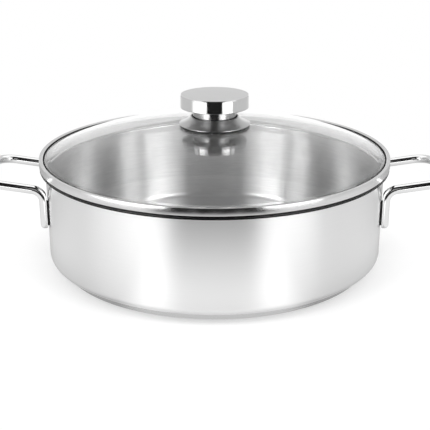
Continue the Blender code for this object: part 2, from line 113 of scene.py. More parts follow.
def share(description, default, maximum=1.0):
    return number(description, default, min=0.0, max=maximum)


def reflected(what, default):
    return share("Brightness of the " + what + ", in reflections", default, 4.0)


def length(description, default):
    return number(description, default, min=0.0, precision=5, subtype="DISTANCE", unit="LENGTH")


def angle(description, degrees):
    return number(description, math.radians(degrees), subtype="ANGLE", unit="ROTATION")


def color(description, *default):
    return FloatVectorProperty(
        description=description, default=default, min=0.0, max=1.0, subtype="COLOR",
    )


def grey(description, level):
    return color(description, level, level, level)


class VesselSizes(PropertyGroup):
    sheet: length("Thickness of the drawn steel", 0.0010)
    corner: length("Outer radius where wall and floor meet", 0.0055)
    rim_bend: length("Radius of the rim's turn at the inside", 0.0030)
    lip_width: length("How far the rim stands out from the wall", 0.0045)
    lip_flat: length("Level stretch at the top of the rim", 0.0005)
    lip_droop: angle("Slope of the rim's outer part", 17.0)
    base_sheet: length("Thickness of the steel under the spreader", 0.0008)
    base_lean: angle("Lean of the base's side from upright", 27.0)
    base_edge: length("Rounding at the foot of the base", 0.0012)


class HandleSizes(PropertyGroup):
    rod: length("Radius of the bent rod", 0.0037)
    leg_spacing: length("Distance of each leg from the middle", 0.0364)
    leg_length: length("Height from the leg's end to the knee", 0.0320)
    knee: length("Radius of the bend at the top of a leg", 0.0105)
    rise: angle("Slope of the grip above the level", 8.5)
    corner: length("Radius of the bend at the end of the grip", 0.0170)
    end_rounding: length("Rounding of a leg's end", 0.0030)
    set_in: length("How much nearer to the wall the leg's axis is than a round rod's", 0.0009)
    flat: length("Gap between the wall and the flat on a leg", 0.0012)
    weld_width: length("Width of the weld between leg and wall", 0.0042)
    weld_height: length("Height of the weld between leg and wall", 0.0215)


class LidSizes(PropertyGroup):
    sheet: length("Thickness of the rolled band", 0.0006)
    flange: length("Width of the band over the glass", 0.0034)
    flange_slope: angle("Fall of the flange toward the glass", 4.0)
    lip_width: length("Width of the flange's turned-down inner lip", 0.0005)
    lip_drop: length("Depth of the flange's turned-down inner lip", 0.0004)
    bulge: length("How far the band's outer face swells", 0.00022)
    edge: length("Rounding of the band's top edge", 0.0003)
    channel_edge: length("Rounding where seat and skirt meet", 0.0030)
    lower_edge: length("Rounding of the band's lower edge", 0.0004)
    seat: angle("Slope of the band's underside on the rim", 18.4)
    skirt_play: length("Room between skirt and pot wall", 0.0007)
    hem_height: length("Height of the folded edge of the skirt", 0.0046)
    hem_bulge: length("How far the folded edge stands inward", 0.0011)
    seal: length("Thickness of the strip round the glass", 0.0008)
    seal_lip: length("Width of the strip under the glass", 0.0004)
    bead: length("How far the strip stands inward of the flange", 0.0003)
    glass: length("Thickness of the pane", 0.0036)
    rise: length("Height of the dome above its edge", 0.0229)
    margin: length("Level stretch at the edge of the glass", 0.0035)
    flat: length("Radius of the level middle of the glass, under the knob", 0.0240)
    step: length("Depth of the step ground into the margin", 0.0026)
    shoulder: length("Rounding where the dome drops to its margin", 0.0022)
    under: share("Part of the dome's radius where the underside turns straight", 0.965)
    power: share("Power of the dome's formula", 0.95, 4.0)
    hole: length("Radius of the hole in the glass", 0.0050)


class KnobSizes(PropertyGroup):
    cap_sheet: length("Thickness of the disc's steel", 0.0012)
    cap_bevel: length("Narrow bevel round the top face", 0.0007)
    neck: length("Radius of the collar", 0.0182)
    neck_sheet: length("Thickness of the collar", 0.0010)
    neck_foot: length("Rounding at the foot of the collar", 0.0020)
    skirt_sheet: length("Thickness of the plate under the knob", 0.0008)
    skirt_hollow: length("How far the plate's slope is hollowed", 0.0009)
    slit: length("Gap between collar and plate", 0.0011)
    gasket_inset: length("How far the black ring stays inside the plate's edge", 0.0010)
    screw: length("Radius of the screw", 0.0025)


class Finishes(PropertyGroup):
    vessel: grey("Satin steel of the vessel", 0.80)
    inside: grey("Brushed steel inside the vessel", 0.80)
    base: grey("Turned steel of the base", 0.62)
    rod: grey("Polished steel of the handles", 0.82)
    band: grey("Polished steel of the lid's band", 0.70)
    # seat: the band's real underside, coloured near-black as painted shade; the rim's lip and the
    # legs' sides toward the wall wear it too
    seat: grey("Unpolished steel of the band's underside", 0.015)
    channel: grey("Dull steel inside the band, over its hem", 0.95)
    knob: grey("Steel of the knob", 0.68)
    neck: grey("Steel of the knob's collar", 0.46)
    plate: grey("Satin steel of the plate under the knob", 0.56)
    glass: grey("Tint of the glass", 0.985)
    # A real silicone strip, coloured near-black as painted shade of the groove between flange and
    # glass.
    seal: grey("Silicone round the glass", 0.015)
    rubber: grey("Rubber of the gaskets", 0.01)
    # A real weld bead, coloured near-black as painted shade of the gap between each leg and the
    # wall.
    weld: grey("Weld metal behind the legs", 0.05)
    fastener: grey("Steel of screw, washer and boss", 0.58)
    aluminium: color("Heat spreader", 0.75, 0.75, 0.76)


class StageSettings(PropertyGroup):
    distance: length("From the camera to the point it looks at", 0.791)
    target_height: length("Height of the point that the camera looks at", 0.045)
    elevation: angle("Height of the camera above the level", 19.368)
    lens: number("Focal length of the camera in millimetres", 77.07)
    shift_x: number("Camera shift across", 0.00093)
    shift_y: number("Camera shift upward", -0.0259)
    room_light: reflected("room", 0.76)
    fill_light: share("Light from all round on plain surfaces", 0.55, 4.0)
    inside_light: share("Brightness of the room for what is reflected inside the pot", 0.2, 4.0)
    side_floor: reflected("floor beside the pot", 0.95)
    back_floor: reflected("floor behind the pot", 0.45)
    front_floor: reflected("floor before the pot", 1.6)
    horizon: reflected("low backdrop", 1.1)
    screen: reflected("white screens", 1.8)
    strip: reflected("low strips", 2.8)
    lamp_power: number("Power of each lamp in watts", 11.0)


class CasseroleSettings(PropertyGroup):
    vessel: PointerProperty(type=VesselSizes)
    handles: PointerProperty(type=HandleSizes)
    lid: PointerProperty(type=LidSizes)
    knob: PointerProperty(type=KnobSizes)
    finishes: PointerProperty(type=Finishes)
    stage: PointerProperty(type=StageSettings)


# Surfaces


def outline(corners):
    """Points (radius, height) of an outline whose corners are (radius, height, rounding).

    A corner without a rounding gets that of a broken edge. Places are complex numbers,
    radius + i height. A rounded corner becomes middle + start e^(ia), with a swept between
    the two points where the circle touches the straight runs. A point stands a little before
    and after each arc, so that the straight runs shade flat.
    """
    points = []
    places = [complex(*corner[:2]) for corner in corners]
    for index, here in enumerate(places):
        rounding = corners[index][2] if len(corners[index]) > 2 else BROKEN_EDGE
        if rounding <= 0.0:
            points.append([here])
            continue
        back = places[index - 1] - here
        ahead = places[(index + 1) % len(places)] - here
        back_length, ahead_length = abs(back), abs(ahead)
        back, ahead = back / back_length, ahead / ahead_length
        half = abs(cmath.phase(ahead / back)) / 2
        touch = rounding / math.tan(half)
        middle = here + (back + ahead) / abs(back + ahead) * (rounding / math.sin(half))
        start = here + back * touch - middle
        turn = cmath.phase((here + ahead * touch - middle) / start)
        sweep = np.linspace(0.0, turn, max(3, round(abs(turn) / ARC_STEP)) + 1)
        support = touch + rounding * ARC_STEP
        before = here + back * min(support, (touch + back_length) / 2)
        after = here + ahead * min(support, (touch + ahead_length) / 2)
        points += [[before], middle + start * np.exp(1j * sweep), [after]]
    points = np.concatenate(points)
    return np.stack([points.real, points.imag], 1)


def surface_mesh(name, rings, closed_rows, poles=()):
    """Mesh of a grid of closed rings, with a fan of triangles to a pole at either open end."""
    rows, columns = rings.shape[:2]
    row = np.arange(rows if closed_rows else rows - 1)[:, None] * columns
    column = np.arange(columns)
    after = (column + 1) % columns
    next_row = (row + columns) % (rows * columns)
    corners = (row + column, next_row + column, next_row + after, row + after)
    faces = np.stack(corners, -1).reshape(-1, 4).tolist()
    points = rings.reshape(-1, 3)
    if poles:
        first, last = np.full((2, columns), len(points)) + [[0], [1]]
        start = (rows - 1) * columns
        faces += np.stack([first, column, after], 1).tolist()
        faces += np.stack([start + column, last, start + after], 1).tolist()
        points = np.vstack([points, *poles])
    mesh = bpy.data.meshes.new(name)
    mesh.from_pydata(points.tolist(), [], faces)
    mesh.update()
    mesh.shade_smooth()
    return mesh


def turned(name, profile, turns=TURNS):
    """Surface of revolution: point (i, j) is (r_i cos a_j, r_i sin a_j, z_i) for a profile (r, z).

    A profile that starts and ends on the axis gets a pole there. Any other closes on itself.
    The profile's area, with its sign, says which way round it runs, so faces point outward.
    """
    radius, height = profile.T
    if np.sum(radius * np.roll(height, -1) - np.roll(radius, -1) * height) > 0.0:
        radius, height = radius[::-1], height[::-1]
    off_axis = radius > AXIS_TOLERANCE
    closed = bool(off_axis.all())
    poles = () if closed else ((0.0, 0.0, height[0]), (0.0, 0.0, height[-1]))
    radius, height = radius[off_axis, None], height[off_axis, None]
    around = np.arange(turns) * (2 * math.pi / turns)
    places = np.broadcast_arrays(radius * np.cos(around), radius * np.sin(around), height)
    return surface_mesh(name, np.stack(places, -1), closed, poles)


def tube(name, path, directions, radii, sides, between):
    """Round tube: point (i, j) is path_i + radius_i (cos a_j u_i - sin a_j v_i).

    u and v stand square to the path's direction. Points whose distance from the Z axis is
    outside the range between move straight in or out to it, which makes the flats.
    """
    u = np.cross(directions, [1.0, 1.0, -1.0])
    u /= np.linalg.norm(u, axis=1, keepdims=True)
    v = np.cross(directions, u)
    around = np.arange(sides)[None, :, None] * (2 * math.pi / sides)
    spread = np.cos(around) * u[:, None] - np.sin(around) * v[:, None]
    rings = path[:, None] + radii[:, None, None] * spread
    from_axis = np.linalg.norm(rings[..., :2], axis=-1, keepdims=True)
    rings[..., :2] *= np.clip(from_axis, *between) / from_axis
    return surface_mesh(name, rings, False, (path[0], path[-1]))


# Finishes


def connect(tree, node, inputs):
    """Each input gets its value, or the socket that feeds it."""
    for name, value in inputs.items():
        if isinstance(value, bpy.types.NodeSocket):
            tree.links.new(value, node.inputs[name])
        else:
            node.inputs[name].default_value = value


def add_node(tree, kind, inputs=None, **settings):
    """Outputs of a new shader node with its settings and inputs."""
    made = tree.nodes.new("ShaderNode" + kind)
    for name, value in settings.items():
        setattr(made, name, value)
    connect(tree, made, inputs or {})
    return made.outputs


def math_node(tree, operation, first, second):
    return add_node(tree, "Math", {0: first, 1: second}, operation=operation)[0]


def blend(tree, part, first, second):
    """first + part * (second - first)"""
    return add_node(tree, "Mix", {0: part, 2: first, 3: second}, data_type="FLOAT")[0]


def ramp(tree, amount, between, start, end, shape="LINEAR"):
    """Change from start to end while the amount goes from one number to the other."""
    low, high = between
    inputs = {"Value": amount, "From Min": low, "From Max": high, "To Min": start, "To Max": end}
    return add_node(tree, "MapRange", inputs, interpolation_type=shape)[0]


def object_place(tree):
    return add_node(tree, "TexCoord")["Object"]


def flat_place(tree):
    """The place's three numbers, its level part and that part's length."""
    parts = add_node(tree, "SeparateXYZ", {0: object_place(tree)})
    flat = add_node(tree, "CombineXYZ", {0: parts[0], 1: parts[1]})[0]
    return parts, flat, add_node(tree, "VectorMath", {0: flat}, operation="LENGTH")["Value"]


def ring_place(tree, around, across):
    """Noise place whose lines run round the Z axis.

    It is (x, y) / r times around, with (z - r) times across as the third number, so it
    changes fast across a wall, a floor or a cone and slowly round the axis.
    """
    parts, flat, radius = flat_place(tree)
    unit = add_node(tree, "VectorMath", {0: flat}, operation="NORMALIZE")[0]
    rise = math_node(tree, "MULTIPLY", math_node(tree, "SUBTRACT", parts[2], radius), across)
    lift = add_node(tree, "CombineXYZ", {2: rise})[0]
    turned_part = add_node(tree, "VectorMath", {0: unit, "Scale": around}, operation="SCALE")[0]
    return add_node(tree, "VectorMath", {0: turned_part, 1: lift}, operation="ADD")[0]


def noise(tree, place, scale, detail, roughness=0.55):
    inputs = {"Vector": place, "Scale": scale, "Detail": detail, "Roughness": roughness}
    return add_node(tree, "TexNoise", inputs)["Fac"]


def about(value, spread):
    return value - spread, value + spread


def make_finish(name, base, tint, gloss, grain, inputs, clouds=None, relief=None, ring=None):
    """Finish whose colour and gloss follow a noise, as its relief may.

    tint is the range of shares of the base colour and gloss that of roughness. grain is the
    noise's (scale, detail, roughness), clouds the (scale, part) of a coarse one mixed into
    all but the relief, relief (strength, depth), and ring what ring_place takes.
    """
    material = bpy.data.materials.new(name)
    material.use_nodes = True
    tree = material.node_tree
    fine = noise(tree, ring_place(tree, *ring) if ring else object_place(tree), *grain)
    marks = fine
    if clouds:
        scale, part = clouds
        marks = blend(tree, part, fine, noise(tree, object_place(tree), scale, 2.0))
    tints = {0: tuple(base), "Scale": ramp(tree, marks, USUAL, *tint)}
    inputs["Base Color"] = add_node(tree, "VectorMath", tints, operation="SCALE")[0]
    inputs["Roughness"] = ramp(tree, marks, USUAL, *gloss)
    if relief:
        bumps = {"Height": fine, "Strength": relief[0], "Distance": relief[1]}
        inputs["Normal"] = add_node(tree, "Bump", bumps)[0]
    if "Anisotropic" in inputs:
        inputs["Tangent"] = add_node(tree, "Tangent", direction_type="RADIAL", axis="Z")[0]
    connect(tree, tree.nodes["Principled BSDF"], inputs)
    return material


def brushed_finish(name, base, roughness, stretch=0.0, relief=0.03, ring=(3.0, 2600.0),
                   contrast=0.02, gleam=0.0):
    """Steel brushed round the axis: fine lines in its colour, gloss and relief.

    stretch is how far its reflections are drawn out across the lines, and gleam how clearly
    it mirrors where it is seen edge-on.
    """
    inputs = {"Metallic": 1.0}
    if gleam > 0.0:
        inputs.update({"Coat Weight": gleam, "Coat Roughness": 0.06})
    if stretch > 0.0:
        inputs.update({"Anisotropic": stretch, "Anisotropic Rotation": 0.25})
    return make_finish(
        name, base, about(1.0, contrast), about(roughness, 0.03), (1.0, 4.0, 0.65), inputs,
        (22.0, 0.25), (relief, SHALLOW), ring,
    )


def polished_finish(name, base, roughness):
    """Polished steel: no grain, with faint wipe marks in its colour and gloss."""
    gloss = (roughness * 0.7, roughness * 1.4)
    return make_finish(name, base, (0.985, 1.01), gloss, (90.0, 4.0, 0.6), {"Metallic": 1.0})


def satin_finish(name, base, roughness, relief=0.06):
    """Blasted satin steel: even fine grain with no direction."""
    return make_finish(
        name, base, (0.96, 1.03), about(roughness, 0.04), (2600.0, 3.0, 0.7), {"Metallic": 1.0},
        (60.0, 0.4), (relief, 2 * SHALLOW),
    )


def rubber_finish(name, base, roughness):
    """Moulded rubber: fine pits and a slightly uneven sheen."""
    return make_finish(
        name, base, (0.85, 1.15), about(roughness, 0.06), (3200.0, 3.0, 0.6),
        {"Specular IOR Level": 0.2}, (150.0, 1.0), (0.15, 2 * SHALLOW),
    )


def glass_finish(name, base):
    """Clear tempered glass: a trace of tint, and faint wipe marks in its gloss."""
    inputs = {"Transmission Weight": 1.0, "IOR": 1.5}
    return make_finish(name, base, (0.99, 1.0), (0.0, 0.004), (45.0, 3.0, 0.55), inputs)


def add_object(name, data):
    made = bpy.data.objects.new(name, data)
    bpy.context.scene.collection.objects.link(made)
    return made


def face_places(mesh):
    """Middle, normal and distance from the Z axis of every face of the mesh."""
    rows = []
    for name in ("center", "normal"):
        values = np.zeros(len(mesh.polygons) * 3)
        mesh.polygons.foreach_get(name, values)
        rows.append(values.reshape(-1, 3))
    return (*rows, np.hypot(rows[0][:, 0], rows[0][:, 1]))


def place_piece(mesh, body, node, finishes, face_slots=None):
    """Object of the mesh at the origin, riding on its body in place of its CAD node.

    face_slots is the number of the finish that each face wears, or None for the first.
    """
    piece = add_object(mesh.name, mesh)
    for finish in finishes:
        mesh.materials.append(finish)
    if face_slots is not None:
        mesh.polygons.foreach_set("material_index", face_slots.astype(np.int32))
    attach(piece, body)
    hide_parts(node)


def refinish(node, finish):
    """The CAD node keeps its mesh and gets the finish."""
    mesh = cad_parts[node].data
    mesh.materials.clear()
    mesh.materials.append(finish)


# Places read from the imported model


def extent(node):
    """Bottom, top and outer radius of a node."""
    low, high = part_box(node)
    return low.z, high.z, high.x


def wall_radius(pot):
    """Outer radius of the vessel's wall."""
    return extent("pot_body")[2] - pot.vessel.lip_width


def leg_radius(pot):
    """Distance of a leg's middle line from the Z axis."""
    return wall_radius(pot) + PLAY + pot.handles.rod - pot.handles.set_in


def seat_height(pot, radius):
    """Height of the band's sloping underside at a radius."""
    slope = pot.lid.seat
    bend = pot.vessel.rim_bend
    middle = wall_radius(pot) - pot.vessel.sheet + bend
    lift = (bend + PLAY) / math.cos(slope)
    return extent("pot_body")[1] - bend + (radius - middle) * math.tan(slope) + lift


def flange_radius(pot):
    """Inner radius of the band's flange."""
    return extent("lid_rim_band")[2] - pot.lid.flange


def flange_height(pot, radius):
    """Height of the flange's upper side: a line that touches the band's rounded top edge."""
    lid = pot.lid
    _, top, outer = extent("lid_rim_band")
    fall = (radius - (outer - lid.bulge - lid.edge)) * math.tan(lid.flange_slope)
    return top - lid.edge + lid.edge / math.cos(lid.flange_slope) + fall


def margin_height(pot):
    """Height of the glass's stepped margin, on which the band presses."""
    return extent("lid_glass")[0] + pot.lid.glass - pot.lid.step


def glass_height(pot, radius):
    """Height of the glass's upper face: edge + rise (1 - u squared) to a power.

    u goes from 0 at the edge of the level middle to 1 at the dome's edge.
    """
    lid = pot.lid
    _, top, outer = extent("lid_glass")
    dome = outer - lid.margin
    outward = np.clip((np.asarray(radius) - lid.flat) / (dome - lid.flat), 0.0, 1.0)
    return top - lid.rise + lid.rise * (1.0 - outward ** 2) ** lid.power


class CASSEROLE_OT_vessel(Operator):
    """Drawn vessel: floor, wall and the rim's turned-out lip"""

    bl_idname = "casserole.vessel"
    bl_label = "Vessel"

    def execute(self, context):
        pot = context.scene.casserole
        sizes, finishes = pot.vessel, pot.finishes
        sheet = sizes.sheet
        floor, rim, lip = extent("pot_body")
        wall = wall_radius(pot)
        inner = wall - sheet
        lip_start = inner + sizes.rim_bend + sizes.lip_flat
        lip_top = rim - (lip - lip_start) * math.tan(sizes.lip_droop)
        mesh = turned("vessel", outline([
            (0.0, floor + sheet, 0.0),
            (inner, floor + sheet, sizes.corner - sheet),
            (inner, rim, sizes.rim_bend),
            (lip_start, rim),
            (lip, lip_top, sheet * FREE_EDGE),
            (lip, lip_top - sheet / math.cos(sizes.lip_droop), sheet * FREE_EDGE),
            (lip_start, rim - sheet),
            (wall, rim - sheet, sizes.rim_bend - sheet),
            (wall, floor, sizes.corner),
            (0.0, floor, 0.0),
        ]))
        steel = brushed_finish("satin_vessel_steel", finishes.vessel, 0.36, stretch=0.85, gleam=1.0)
        inside = brushed_finish(
            "brushed_inside_steel", finishes.inside, 0.30,
            stretch=1.0, relief=0.010, ring=(9.0, 800.0), contrast=0.10,
        )
        # The lip's edge and underside wear near-black steel: painted shade of the gap under the
        # lid's band.
        rim_painted_shade = satin_finish("rim_steel_painted_shade", finishes.seat, 0.5)
        centers, normals, radius = face_places(mesh)
        within = (radius < inner + BROKEN_EDGE) & (centers[:, 2] > floor + sheet / 2)
        painted_shade_on_lip = (radius > wall + sheet) & (normals[:, 2] < LIP_UP)
        slots = np.where(painted_shade_on_lip, 2, within)
        place_piece(mesh, "pot", "pot_body", (steel, inside, rim_painted_shade), slots)
        return {"FINISHED"}


class CASSEROLE_OT_base(Operator):
    """Steel pan under the heat spreader, and the spreader inside it"""

    bl_idname = "casserole.base"
    bl_label = "Base"

    def execute(self, context):
        pot = context.scene.casserole
        sizes = pot.vessel
        bottom, top, outer = extent("base_cap")
        lean = math.tan(sizes.base_lean)
        side = sizes.base_sheet / math.cos(sizes.base_lean)
        inner_foot = outer - side - (top - bottom - sizes.base_sheet) * lean
        mesh = turned("base_pan", outline([
            (0.0, bottom + sizes.base_sheet, 0.0),
            (inner_foot, bottom + sizes.base_sheet),
            (outer - side, top),
            (outer, top),
            (outer - (top - bottom) * lean, bottom, sizes.base_edge),
            (0.0, bottom, 0.0),
        ]))
        steel = brushed_finish(
            "turned_base_steel", pot.finishes.base, 0.26, stretch=0.5, ring=(3.0, 1700.0),
        )
        place_piece(mesh, "pot", "base_cap", [steel])
        refinish("base_core", satin_finish("spreader_aluminium", pot.finishes.aluminium, 0.45))
        return {"FINISHED"}


def arc(middle, start, axis, turn):
    """Points middle + arm cos a + (axis x arm) sin a, for a from 0 to turn, with directions."""
    arm = start - middle
    other = np.cross(axis, arm)
    sweep = np.linspace(0.0, turn, max(4, round(abs(turn) / BEND_STEP)) + 1)[:, None]
    points = middle + arm * np.cos(sweep) + other * np.sin(sweep)
    headings = (other * np.cos(sweep) - arm * np.sin(sweep)) * math.copysign(1.0, turn)
    return points, headings / np.linalg.norm(headings, axis=1, keepdims=True)


def rod_path(pot, side):
    """Points, directions and radii of one rod: leg, knee, grip side and corner, then mirrored.

    Between the bends the rod is straight; each bend is an arc that touches both straights.
    """
    sizes = pot.handles
    low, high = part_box("handle_right" if side > 0 else "handle_left")
    knee_x = math.sqrt(leg_radius(pot) ** 2 - sizes.leg_spacing ** 2)
    reach = max(abs(low.x), abs(high.x)) - sizes.rod
    up = np.array([0.0, 0.0, 1.0])
    across = np.array([0.0, 1.0, 0.0])
    outward = np.array([side * math.cos(sizes.rise), 0.0, math.sin(sizes.rise)])
    foot = np.array([side * knee_x, -sizes.leg_spacing, low.z])
    knee = foot + up * sizes.leg_length
    turn = math.pi / 2 - sizes.rise
    start = knee - up * (sizes.knee * math.tan(turn / 2))
    knee_arc, knee_heading = arc(start + [side * sizes.knee, 0.0, 0.0], start, across, side * turn)
    corner = knee + outward * ((reach - knee_x) / math.cos(sizes.rise) - sizes.corner)
    axis = np.cross(outward, across)
    corner_arc, corner_heading = arc(corner + across * sizes.corner, corner, axis, math.pi / 2)

    sweep = np.linspace(0.0, math.pi / 2, 8)
    tip = foot + up * (sizes.end_rounding * (1.0 - np.cos(sweep)))[:, None]
    leg = np.linspace(tip[-1], start, ROD_POINTS)[1:-1]
    grip = np.linspace(knee_arc[-1], corner, ROD_POINTS)[1:-1]
    points = np.vstack([tip, leg, knee_arc, grip, corner_arc])
    headings = np.vstack([
        np.tile(up, (len(tip) + len(leg), 1)), knee_heading,
        np.tile(outward, (len(grip), 1)), corner_heading,
    ])
    radii = np.full(len(points), sizes.rod)
    radii[:len(tip)] -= sizes.end_rounding * (1.0 - np.sin(sweep))
    mirror = np.array([1.0, -1.0, 1.0])
    bar = np.linspace(points[-1], points[-1] * mirror, ROD_POINTS)[1:-1]
    return (
        np.vstack([points, bar, points[::-1] * mirror]),
        np.vstack([headings, np.tile(across, (len(bar), 1)), headings[::-1] * -mirror]),
        np.concatenate([radii, np.full(len(bar), sizes.rod), radii[::-1]]),
    )


class CASSEROLE_OT_handles(Operator):
    """Two bent rods, rounded at their ends and flattened where they meet the wall"""

    bl_idname = "casserole.handles"
    bl_label = "Handles"

    def execute(self, context):
        pot = context.scene.casserole
        flat = wall_radius(pot) + pot.handles.flat
        polish = polished_finish("polished_rod_steel", pot.finishes.rod, 0.06)
        # The legs' sides toward the wall wear near-black steel: painted shade and painted dark
        # reflections of the narrow gap between leg and wall.
        leg_painted_shade = satin_finish("leg_steel_painted_shade", pot.finishes.seat, 0.5)
        for side, word in ((-1, "left"), (1, "right")):
            mesh = tube("rod_handle_" + word, *rod_path(pot, side), 48, (flat, math.inf))
            centers, normals, radius = face_places(mesh)
            inward = -np.sum(centers[:, :2] * normals[:, :2], 1) / radius
            painted_shade_faces = (inward > LEG_INWARD) & (radius < flat + LEG_DEPTH)
            place_piece(mesh, "pot", "handle_" + word, (polish, leg_painted_shade), painted_shade_faces)
        return {"FINISHED"}


class CASSEROLE_OT_welds(Operator):
    """Weld bead between each leg and the wall: an upright round bead, flattened by both"""

    bl_idname = "casserole.welds"
    bl_label = "Welds"

    def execute(self, context):
        pot = context.scene.casserole
        sizes = pot.handles
        # The weld is near-black: painted shade of the gap between leg and wall.
        weld = satin_finish("weld_metal", pot.finishes.weld, 0.45, 0.4)
        wall = wall_radius(pot)
        between = (wall + WELD_PLAY, wall + sizes.flat - WELD_PLAY)
        middle = sum(between) / 2
        across = sizes.leg_spacing / leg_radius(pot) * middle
        along = math.sqrt(middle ** 2 - across ** 2)
        sweep = np.linspace(0.0, math.pi / 2, 6)
        radii = np.sin(sweep) * sizes.weld_width / 2 + WELD_TIP
        radii = np.concatenate([radii, radii[::-1]])
        ends = (1.0 - np.cos(sweep)) * sizes.weld_width / 2
        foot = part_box("handle_left")[0].z + sizes.end_rounding * FOLD
        heights = foot + np.concatenate([ends, sizes.weld_height - ends[::-1]])
        up = np.tile([0.0, 0.0, 1.0], (len(heights), 1))
        for side, x in (("left", -along), ("right", along)):
            for end, y in (("front", -across), ("back", across)):
                name = side + "_" + end
                path = np.array([(x, y, height) for height in heights])
                mesh = tube("weld_" + name, path, up, radii, 24, between)
                place_piece(mesh, "pot", "weld_pad_" + name, [weld])
        return {"FINISHED"}


class CASSEROLE_OT_band(Operator):
    """Rolled band of the lid: flange, bulged face, seat, and the hemmed skirt inside the pot"""

    bl_idname = "casserole.band"
    bl_label = "Lid band"

    def execute(self, context):
        pot = context.scene.casserole
        finishes = pot.finishes
        bottom, top, outer = extent("lid_rim_band")
        middle = (seat_height(pot, outer) + top) / 2
        hem_top = bottom + pot.lid.hem_height
        corners = self.corners(pot, outer, middle, top, hem_top, bottom)
        mesh = turned("lid_band", outline(corners), FINE_TURNS)
        steel = polished_finish("polished_band_steel", finishes.band, 0.17)
        # The underside of the seat is near-black: painted shade of the gap between band and rim.
        seat = satin_finish("seat_steel_painted_shade", finishes.seat, 0.5)
        skirt = brushed_finish(
            "brushed_skirt_steel", finishes.inside, 0.30,
            stretch=0.9, relief=0.01, ring=(14.0, 1100.0),
        )
        channel = satin_finish("dull_channel_steel", finishes.channel, 0.6)
        slots = self.face_slots(pot.lid, mesh, outer, middle, hem_top)
        place_piece(mesh, "lid", "lid_rim_band", (steel, seat, skirt, channel), slots)
        return {"FINISHED"}

    def corners(self, pot, outer, middle, top, hem_top, bottom):
        """From the flange's lip down the outer face, the seat, round the hem and up inside."""
        lid = pot.lid
        sheet = lid.sheet
        skirt = wall_radius(pot) - pot.vessel.sheet - lid.skirt_play
        inner = skirt - sheet
        hem = inner - lid.hem_bulge
        channel = sheet / math.cos(lid.seat)
        flange = flange_radius(pot)
        back = outer - sheet
        face = outer - lid.bulge
        face_low = seat_height(pot, outer)
        face_bend = ((top - face_low) / 2) ** 2 / (2 * lid.bulge) * ARC_SHARE
        under = sheet / math.cos(lid.flange_slope)
        lip = flange + lid.lip_width
        lip_top = flange_height(pot, lip)
        lip_low = lip_top - lid.lip_drop
        return [
            (flange, lip_low, sheet * SOFT_EDGE),
            (lip, lip_top, lid.lip_width / 2),
            (face, flange_height(pot, face), lid.edge),
            (outer, middle, face_bend),
            (face, face_low, lid.lower_edge),
            (skirt, seat_height(pot, skirt), lid.channel_edge),
            (skirt, bottom, sheet * FOLD),
            (hem, bottom, sheet * FOLD),
            (hem, hem_top, sheet * HEM_TOP),
            (inner, hem_top + lid.hem_bulge),
            (inner, seat_height(pot, inner) + channel, lid.channel_edge + sheet),
            (back, seat_height(pot, back) + channel),
            (back, flange_height(pot, back) - under, max(lid.edge - sheet, BROKEN_EDGE)),
            (lip + sheet * LIP_BEND, lip_top - under),
            (flange + sheet * LIP_SHEET, lip_low - sheet * LIP_SHEET, sheet * LIP_BEND),
        ]

    def face_slots(self, lid, mesh, outer, middle, hem_top):
        """Finish of each face: 1 under the seat, in painted shade, 2 on the skirt, 3 in the
        channel, 0 elsewhere.
        """
        seat_down, hem_up, hem_reach, channel_from = -0.3, 0.15, 1.2, 1.6
        centers, normals, radius = face_places(mesh)
        height, upward = centers[:, 2], normals[:, 2]
        under = (upward < seat_down) & (height < middle) & (height > hem_top)
        in_pot = (radius < outer - lid.sheet) & (height < middle)
        over_hem = height - hem_top
        near_hem = (over_hem > -lid.sheet) & (over_hem < lid.hem_bulge * hem_reach)
        on_hem = near_hem & (upward > hem_up)
        inside = np.where(over_hem > lid.hem_bulge * channel_from, 3, 2)
        return np.where(in_pot & ~under & ~on_hem, inside, under)


class CASSEROLE_OT_seal(Operator):
    """Silicone strip round and under the glass's edge"""

    bl_idname = "casserole.seal"
    bl_label = "Glass seal"

    def execute(self, context):
        pot = context.scene.casserole
        lid = pot.lid
        outer = extent("lid_rim_seal")[2]
        inner = outer - lid.seal
        lip = inner - lid.seal_lip
        margin = margin_height(pot) + PLAY
        top = flange_height(pot, outer) - lid.sheet / math.cos(lid.flange_slope) - PLAY
        under_glass = extent("lid_glass")[0] - PLAY
        rise = lid.sheet / math.cos(lid.seat) + PLAY
        flange = flange_radius(pot)
        flange_lip = flange + lid.lip_width
        bead = flange - lid.bead
        bead_top = flange_height(pot, flange_lip) - lid.lip_drop - lid.sheet * LIP_SHEET - PLAY
        profile = outline([
            (outer, top),
            (outer, seat_height(pot, outer) + rise),
            (lip, seat_height(pot, lip) + rise),
            (lip, under_glass),
            (inner, under_glass),
            (inner, margin),
            (bead, margin),
            (bead, bead_top),
            (flange_lip, bead_top),
        ])
        # The strip's near-black colour is painted shade: its bead shows as the dark line in the
        # groove between flange and glass.
        shade_black_silicone = rubber_finish("seal_silicone", pot.finishes.seal, 0.4)
        mesh = turned("glass_seal", profile)
        place_piece(mesh, "lid", "lid_rim_seal", [shade_black_silicone])
        return {"FINISHED"}


